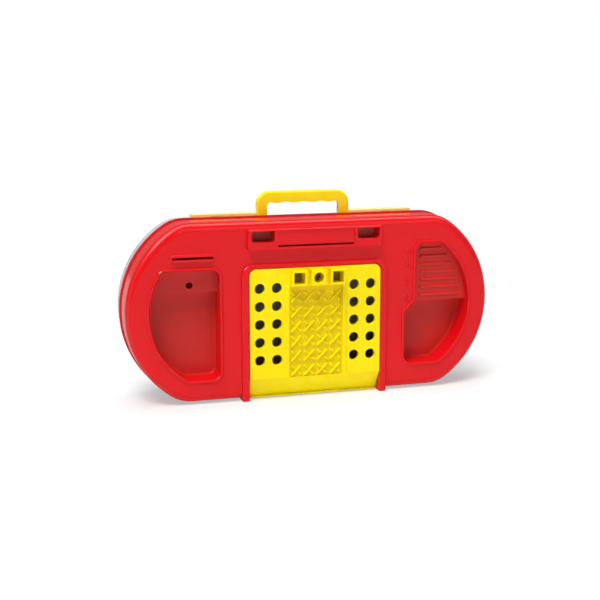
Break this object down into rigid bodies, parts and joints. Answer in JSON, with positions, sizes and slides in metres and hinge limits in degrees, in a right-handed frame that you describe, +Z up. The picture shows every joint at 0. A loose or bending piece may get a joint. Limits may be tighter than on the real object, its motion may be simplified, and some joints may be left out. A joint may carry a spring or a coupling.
{
  "type": "toy workbench carry case",
  "caption": "hinged carry case in two moulded halves whose face is a toy workbench, with sunk trays, a tool bar, a saw slot, a peg panel with sockets, a folding handle and sliding latches",
  "frame": {"origin": "on the floor under the middle of the case's box, with the case standing on its feet", "axes": "+Z up to the handle, +X along the length to the right of the bench face, and -Y is the way the bench face looks"},
  "size_m": [0.393, 0.0886, 0.2113],
  "materials": {
    "red_plastic": "glossy moulded",
    "panel_yellow": "satin moulded",
    "handle_yellow": "satin moulded",
    "pale_grey_plastic": "fine matt moulded",
    "steel": "plain drawn"
  },
  "bodies": {
    "back_half": {"back_shell": "pale_grey_plastic", "handle_bracket_left": "handle_yellow", "handle_bracket_right": "handle_yellow", "bracket_screws": "steel", "hinge_pin_left": "steel", "hinge_pin_right": "steel", "handle_pin_left": "steel", "handle_pin_right": "steel"},
    "front_half": {"front_shell": "red_plastic", "peg_panel": "panel_yellow", "panel_screws": "steel"},
    "handle": {"carry_handle": "handle_yellow"},
    "latch_left": {"latch_slider_left": "handle_yellow"},
    "latch_right": {"latch_slider_right": "handle_yellow"}
  },
  "joints": [
    {"name": "case_hinge", "type": "hinge", "parent": "back_half", "child": "front_half", "pos_m": [0, 0.01225, 0.0035], "axis": [1, 0, 0], "range_deg": [0, 95]},
    {"name": "handle_fold", "type": "hinge", "parent": "back_half", "child": "handle", "pos_m": [0, 0.01665, 0.1867], "axis": [-1, 0, 0], "range_deg": [0, 90]},
    {"name": "latch_slide_left", "type": "slide", "parent": "back_half", "child": "latch_left", "axis": [-1, 0, 0], "range_m": [0, 0.007]},
    {"name": "latch_slide_right", "type": "slide", "parent": "back_half", "child": "latch_right", "axis": [1, 0, 0], "range_m": [0, 0.007]}
  ]
}
